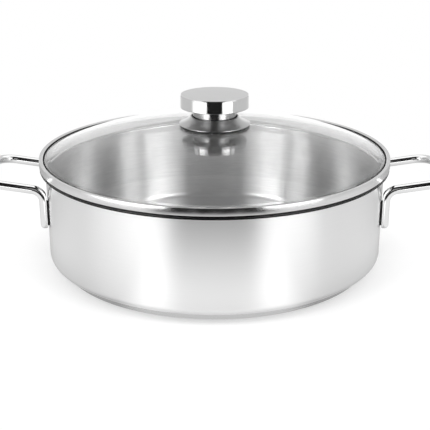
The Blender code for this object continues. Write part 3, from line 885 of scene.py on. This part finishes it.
class CASSEROLE_OT_glass(Operator):
    """Domed pane with a hole for the knob's screw"""

    bl_idname = "casserole.glass"
    bl_label = "Glass"

    def execute(self, context):
        pot = context.scene.casserole
        lid = pot.lid
        bottom, _, edge = extent("lid_glass")
        under = (edge - lid.margin) * lid.under
        margin = margin_height(pot)
        drop = flange_radius(pot) - lid.bead - PLAY
        shoulder = drop - lid.shoulder * SHOULDER_START
        sweep = np.linspace(0.0, math.pi / 2, GLASS_POINTS)
        radius = lid.hole + (shoulder - lid.hole) * np.sin(sweep)
        upper = np.stack([radius, glass_height(pot, radius)], 1)
        round_edge = (margin - bottom) * FREE_EDGE
        rim = outline([
            (shoulder, upper[-1, 1], 0.0),
            (drop, upper[-1, 1] - lid.shoulder * SHOULDER_FALL, lid.shoulder),
            (drop + PLAY / 3, margin, lid.step * STEP_FOOT),
            (edge, margin, round_edge),
            (edge, bottom, round_edge),
            (under, float(glass_height(pot, under)) - lid.glass, 0.0),
        ])
        radius = lid.hole + (under - lid.hole) * np.sin(sweep[::-1])
        lower = np.stack([radius, glass_height(pot, radius) - lid.glass], 1)
        mesh = turned("glass_pane", np.concatenate([upper[:-1], rim[:-1], lower]), FINE_TURNS)
        clear = glass_finish("clear_lid_glass", pot.finishes.glass)
        place_piece(mesh, "lid", "lid_glass", [clear])
        return {"FINISHED"}


class CASSEROLE_OT_knob(Operator):
    """Disc, collar and hollow-ground plate of the knob"""

    bl_idname = "casserole.knob"
    bl_label = "Knob"

    def execute(self, context):
        pot = context.scene.casserole
        for make in (self.make_cap, self.make_neck, self.make_plate):
            make(pot.knob, pot.finishes)
        return {"FINISHED"}

    def make_cap(self, knob, finishes):
        bottom, top, outer = extent("knob_cap")
        inner = outer - knob.cap_sheet
        roof = top - knob.cap_sheet
        mesh = turned("knob_disc", outline([
            (0.0, top, 0.0),
            (outer - knob.cap_bevel, top),
            (outer, top - knob.cap_bevel),
            (outer, bottom, knob.cap_sheet * FREE_EDGE),
            (inner, bottom),
            (inner, roof, knob.cap_bevel),
            (0.0, roof, 0.0),
        ]))
        steel = polished_finish("knob_disc_steel", finishes.knob, 0.11)
        satin = satin_finish("knob_top_steel", finishes.knob, 0.32)
        centers, _, radius = face_places(mesh)
        on_top = (centers[:, 2] > top - BROKEN_EDGE) & (radius < outer - knob.cap_bevel)
        place_piece(mesh, "lid", "knob_cap", (steel, satin), on_top)

    def make_neck(self, knob, finishes):
        bottom, top, flange = extent("knob_neck")
        sheet = knob.neck_sheet
        hole = knob.screw + PLAY
        inner = knob.neck - sheet
        mesh = turned("knob_collar", outline([
            (flange, top),
            (flange, top - sheet),
            (knob.neck, top - sheet, sheet),
            (knob.neck, bottom, knob.neck_foot),
            (hole, bottom),
            (hole, bottom + sheet),
            (inner, bottom + sheet, sheet),
            (inner, top),
        ]))
        steel = polished_finish("polished_neck_steel", finishes.neck, 0.21)
        place_piece(mesh, "lid", "knob_neck", [steel])

    def make_plate(self, knob, finishes):
        """The slope is a straight line pushed square inward by hollow * 4 t (1 - t)."""
        bottom, top, outer = extent("knob_skirt")
        sheet = knob.skirt_sheet
        floor = bottom + sheet
        hole = knob.screw + PLAY
        crest = np.array([knob.neck + knob.slit + sheet, top])
        run = np.array([outer, floor]) - crest
        inward = np.array([run[1], -run[0]]) / np.linalg.norm(run)
        along = np.linspace(0.0, 1.0, 24)[:, None]
        slope = crest + run * along + inward * (knob.skirt_hollow * 4 * along * (1 - along))
        inner = slope - [sheet, 0.0]
        inner = inner[inner[:, 1] > floor + sheet / 2]
        edge = outline([
            (outer, floor), (outer, bottom, sheet * SOFT_EDGE), (hole, bottom), (hole, floor),
        ])
        foot = [[inner[-1, 0] + sheet / 2, floor]]
        mesh = turned("knob_plate", np.concatenate([slope[:-1], edge, foot, inner[::-1]]))
        steel = brushed_finish(
            "satin_plate_steel", finishes.plate, 0.32, stretch=0.6, ring=(3.0, 4200.0),
        )
        place_piece(mesh, "lid", "knob_skirt", [steel])


class CASSEROLE_OT_gaskets(Operator):
    """Black ring above the glass, with a sleeve in its hole, and a ring below"""

    bl_idname = "casserole.gaskets"
    bl_label = "Gaskets"

    def execute(self, context):
        pot = context.scene.casserole
        hole = pot.knob.screw + PLAY
        rubber = rubber_finish("black_gasket_rubber", pot.finishes.rubber, 0.5)
        foot, top, _ = extent("knob_upper_gasket")
        outer = extent("knob_skirt")[2] - pot.knob.gasket_inset
        sleeve = pot.lid.hole - PLAY
        radius = np.linspace(outer, sleeve, 32)
        under = np.stack([radius, glass_height(pot, radius) + PLAY], 1)
        upper = np.concatenate([[[hole, foot], [hole, top], [outer, top]], under, [[sleeve, foot]]])
        bottom, top, outer = extent("knob_lower_gasket")
        edge = (top - bottom) * SOFT_EDGE
        corners = ((hole, top, 0.0), (outer, top), (outer, bottom, edge), (hole, bottom, 0.0))
        lower = outline(corners)
        for name, profile in (("upper_gasket", upper), ("lower_gasket", lower)):
            mesh = turned(name, profile, SMALL_TURNS)
            place_piece(mesh, "lid", "knob_" + name, [rubber])
        return {"FINISHED"}


class CASSEROLE_OT_fastening(Operator):
    """Washer, screw with a cross recess, and the threaded boss inside the knob"""

    bl_idname = "casserole.fastening"
    bl_label = "Screw and washer"

    def execute(self, context):
        finishes = context.scene.casserole.finishes
        steel = brushed_finish("fastener_steel", finishes.fastener, 0.28, ring=(3.0, 3000.0))
        for node in ("knob_washer", "knob_screw", "knob_insert"):
            refinish(node, steel)
        return {"FINISHED"}


# Stage


def stage_sheet(name, corners, finish):
    """Flat sheet with the four corners and the finish."""
    mesh = bpy.data.meshes.new(name)
    mesh.from_pydata(corners, [], [(0, 1, 2, 3)])
    mesh.materials.append(finish)
    sheet = add_object(name, mesh)
    return sheet


def empty_finish(name):
    material = bpy.data.materials.new(name)
    material.use_nodes = True
    material.node_tree.nodes.clear()
    return material, material.node_tree


def mix_shaders(tree, part, first, second):
    return add_node(tree, "MixShader", {0: part, 1: first, 2: second})[0]


def emission(tree, strength):
    return add_node(tree, "Emission", {"Strength": strength})[0]


def facing_front(tree):
    """Cosine of a place's angle, seen from the pot, from the camera's side, and its distance."""
    parts, _, radius = flat_place(tree)
    return math_node(tree, "DIVIDE", math_node(tree, "MULTIPLY", parts[1], -1.0), radius), radius


def smooth(tree, amount, between, start, end):
    return ramp(tree, amount, between, start, end, "SMOOTHSTEP")


def faded(tree, brightness, first, last, rest):
    """The brightness going over to a rest of it between two angles, in degrees, from the front."""
    cosines = [math.cos(math.radians(turn)) for turn in (first, last)]
    return smooth(tree, facing_front(tree)[0], cosines, brightness, brightness * rest)


def deep_in_pot(tree, light):
    """1 for light that has turned often enough to be inside the pot, under the glass."""
    return math_node(tree, "GREATER_THAN", light["Ray Depth"], DEEP)


def show_front(tree, light, plain, mirrored):
    """Surface with a clear back: plain, but mirrored in steel and to light deep in the pot."""
    through = math_node(tree, "MULTIPLY", light["Is Transmission Ray"], deep_in_pot(tree, light))
    part = math_node(tree, "MAXIMUM", light["Is Glossy Ray"], through)
    clear = add_node(tree, "BsdfTransparent")[0]
    back = add_node(tree, "NewGeometry")["Backfacing"]
    surface = mix_shaders(tree, back, mix_shaders(tree, part, plain or clear, mirrored), clear)
    add_node(tree, "OutputMaterial", {"Surface": surface})


def card_finish(name, brightness, inside=None, fade=None, fade_inside=None):
    """Seen only in reflections, and through glass only after a turn inside the pot.

    inside is the brightness that it comes to over three more turns, or None for the same.
    A fade is what faded takes after the brightness.
    """
    material, tree = empty_finish(name)
    light = add_node(tree, "LightPath")
    if fade:
        brightness = faded(tree, brightness, *fade)
    if fade_inside:
        inside = faded(tree, inside, *fade_inside)
    if inside is not None:
        brightness = ramp(tree, light["Ray Depth"], (1.0, 4.0), brightness, inside)
    show_front(tree, light, None, emission(tree, brightness))
    return material


def floor_finish(stage):
    """White floor with the pot's shadow.

    In reflections it glows by its place, a painted reflection of a lit floor: bright beside
    the pot, less behind it, darker close to the pot as a painted contact shadow, and fading
    to black toward the camera.
    """
    material, tree = empty_finish("floor_white")
    front, distance = facing_front(tree)
    shadow, painted_shadow_reach, before_pot, to_back = (0.15, 0.34), (0.12, 0.20), (0.22, 0.38), (0.38, 0.52)
    back_to_side, back_to_room, side_to_front = (-0.9, 0.3), (-0.93, -0.75), (0.80, 0.93)
    white = add_node(tree, "BsdfDiffuse", {"Color": (0.84, 0.84, 0.84, 1.0)})[0]
    plain = mix_shaders(tree, smooth(tree, distance, shadow, 0.45, 1.0), white, emission(tree, 1.0))
    near = smooth(tree, front, back_to_side, stage.back_floor, stage.side_floor)
    outer = smooth(tree, front, back_to_room, stage.horizon, stage.room_light)
    around = blend(tree, smooth(tree, distance, to_back, 0.0, 1.0), near, outer)
    toward_camera = smooth(tree, distance, before_pot, stage.front_floor, 0.02)
    whole = blend(tree, smooth(tree, front, side_to_front, 0.0, 1.0), around, toward_camera)
    # Painted contact shadow: the glow falls to half close to the pot.
    glow = math_node(tree, "MULTIPLY", whole, smooth(tree, distance, painted_shadow_reach, 0.5, 1.0))
    show_front(tree, add_node(tree, "LightPath"), plain, emission(tree, glow))
    return material


def light_the_room(stage):
    """White to the camera, a plain grey room in reflections, and even fill on plain surfaces."""
    world = bpy.data.worlds.new("room")
    bpy.context.scene.world = world
    world.use_nodes = True
    tree = world.node_tree
    light = add_node(tree, "LightPath")
    around = blend(tree, light["Is Glossy Ray"], stage.fill_light, stage.room_light)
    beyond = blend(tree, deep_in_pot(tree, light), 1.0, stage.inside_light)
    direct = math_node(tree, "MAXIMUM", light["Is Camera Ray"], light["Is Transmission Ray"])
    strength = blend(tree, direct, around, beyond)
    connect(tree, tree.nodes["Background"], {"Color": (1.0, 1.0, 1.0, 1.0), "Strength": strength})


def add_lamp(name, middle, size, power):
    """Square soft lamp that lights plain surfaces and throws the shadow."""
    data = bpy.data.lights.new(name, "AREA")
    data.shape = "SQUARE"
    data.size = size
    data.energy = power
    lamp = add_object(name, data)
    lamp.location = middle
    lamp.rotation_euler = (Vector(POT_MIDDLE) - Vector(middle)).to_track_quat("-Z", "Y").to_euler()
    lamp.visible_camera = lamp.visible_glossy = lamp.visible_transmission = False


def left(point):
    return -point[0], point[1]


def upright(first, last, bottom, top):
    """Corners of a card standing from one floor point to another, with its front to their left."""
    return [(*first, bottom), (*last, bottom), (*last, top), (*first, top)]


def lying(height, *points):
    """Corners of a level card over floor points that run anticlockwise, seen from its front."""
    return [(*point, height) for point in points]


class CASSEROLE_OT_stage(Operator):
    """Floor, soft studio light and the camera"""

    bl_idname = "casserole.stage"
    bl_label = "Stage"

    def execute(self, context):
        stage = context.scene.casserole.stage
        context.scene.view_settings.view_transform = "Standard"
        far = FLOOR_REACH
        corners = lying(-FLOOR_DEPTH, (-far, -far), (far, -far), (far, far), (-far, far))
        stage_sheet("floor", corners, floor_finish(stage))
        light_the_room(stage)
        add_lamp("lamp_left", (-0.9, -0.5, 1.0), 0.9, stage.lamp_power)
        add_lamp("lamp_right", (0.9, -0.5, 1.0), 0.9, stage.lamp_power)
        add_lamp("lamp_top", (0.0, 0.2, 1.4), 1.2, stage.lamp_power)
        self.add_cards(stage)
        self.add_camera(stage)
        return {"FINISHED"}

    def add_cards(self, stage):
        """Screens round a dark opening for the camera, low strips by the pot, backdrop and roof.

        The opening goes up behind the camera and on over it, to the front edge of the roof.
        """
        dark = card_finish("opening_dark", 0.015)
        white = card_finish("screen_white", stage.screen, 7.5, fade_inside=(46.0, 20.0, 0.2))
        side = card_finish("screen_side", stage.screen * 0.75, 3.3)
        dim = card_finish("opening_dim", 0.30, 0.015)
        strip = card_finish("strip_white", stage.strip)
        soft = card_finish("strip_soft", stage.strip, fade=(50.0, 84.0, 0.3))
        bright = card_finish("backdrop_low", 1.3, 0.9)
        plain = card_finish("backdrop_high", stage.room_light, 0.9)
        over = card_finish("screen_top_white", 1.3, 0.35)

        # Floor points (x, y) on the right, which left() mirrors, and heights
        edge, mid, main = (0.56, -1.2), (0.26, -1.2), (1.0, -0.65)
        wing, far = (1.06, -0.54), (1.14, -0.26)
        low, near, wide, back = (0.215, -0.45), (0.43, -0.26), (0.50, -0.10), (0.75, 1.2)
        front, roof_front, roof_end = (0.50, -0.14), (0.8, -0.14), (0.8, 0.8)
        roof, part, wing_low, low_top, back_low, back_top = 1.1, 0.34, 0.2, 0.045, 0.36, 1.6
        for name, finish, corners in (
            ("opening_right", dark, upright(edge, mid, 0.0, roof)),
            ("opening_back", dark, upright(mid, left(mid), 0.0, part)),
            ("opening_high", dim, upright(mid, left(mid), part, roof)),
            ("opening_left", dark, upright(left(mid), left(edge), 0.0, roof)),
            ("opening_over", dark, lying(roof, left(edge), left(front), front, edge)),
            ("screen_left", white, upright(left(edge), left(main), 0.0, roof)),
            ("screen_right", white, upright(main, edge, 0.0, roof)),
            ("screen_side_left", side, upright(left(wing), left(far), wing_low, roof)),
            ("screen_side_right", side, upright(far, wing, wing_low, roof)),
            ("opening_low", dark, upright(low, left(low), 0.0, low_top)),
            ("strip_right", strip, upright(near, low, 0.0, low_top)),
            ("strip_left", soft, upright(left(low), left(wide), 0.0, low_top)),
            ("backdrop_low", bright, upright(left(back), back, 0.0, back_low)),
            ("backdrop_high", plain, upright(left(back), back, back_low, back_top)),
            ("screen_top", over, lying(
                roof, left(roof_end), roof_end, roof_front, left(roof_front),
            )),
        ):
            card = stage_sheet(name, corners, finish)
            card.visible_camera = card.visible_diffuse = card.visible_shadow = False

    def add_camera(self, stage):
        data = bpy.data.cameras.new("camera")
        data.sensor_fit = "HORIZONTAL"
        data.sensor_width = 36.0
        data.lens = stage.lens
        data.shift_x = stage.shift_x
        data.shift_y = stage.shift_y
        camera = add_object("camera", data)
        away = Vector((0.0, -math.cos(stage.elevation), math.sin(stage.elevation)))
        camera.location = Vector((0.0, 0.0, stage.target_height)) + away * stage.distance
        camera.rotation_euler = (math.pi / 2 - stage.elevation, 0.0, 0.0)
        bpy.context.scene.camera = camera


PIECE_OPERATORS = (
    CASSEROLE_OT_vessel, CASSEROLE_OT_base, CASSEROLE_OT_handles, CASSEROLE_OT_welds,
    CASSEROLE_OT_band, CASSEROLE_OT_seal, CASSEROLE_OT_glass, CASSEROLE_OT_knob,
    CASSEROLE_OT_gaskets, CASSEROLE_OT_fastening, CASSEROLE_OT_stage,
)


class CASSEROLE_PT_panel(Panel):
    """The pot's pieces, sizes and colours"""

    bl_idname = "CASSEROLE_PT_panel"
    bl_label = "Casserole"
    bl_space_type = "VIEW_3D"
    bl_region_type = "UI"
    bl_category = "Casserole"

    def draw(self, context):
        settings = context.scene.casserole
        for operator in PIECE_OPERATORS:
            self.layout.operator(operator.bl_idname)
        for group in ("vessel", "handles", "lid", "knob", "finishes", "stage"):
            group = getattr(settings, group)
            column = self.layout.box().column()
            for name in group.bl_rna.properties.keys():
                if name not in ("rna_type", "name"):
                    column.prop(group, name, text=name.replace("_", " ").capitalize())


CLASSES = (
    VesselSizes, HandleSizes, LidSizes, KnobSizes, Finishes, StageSettings, CasseroleSettings,
    *PIECE_OPERATORS, CASSEROLE_PT_panel,
)


def register():
    for made in CLASSES:
        bpy.utils.register_class(made)
    bpy.types.Scene.casserole = PointerProperty(type=CasseroleSettings)


def unregister():
    del bpy.types.Scene.casserole
    for made in reversed(CLASSES):
        bpy.utils.unregister_class(made)


def main():
    register()
    for operator in PIECE_OPERATORS:
        family, name = operator.bl_idname.split(".")
        getattr(getattr(bpy.ops, family), name)()
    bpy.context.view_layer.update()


if __name__ == "__main__":
    main()
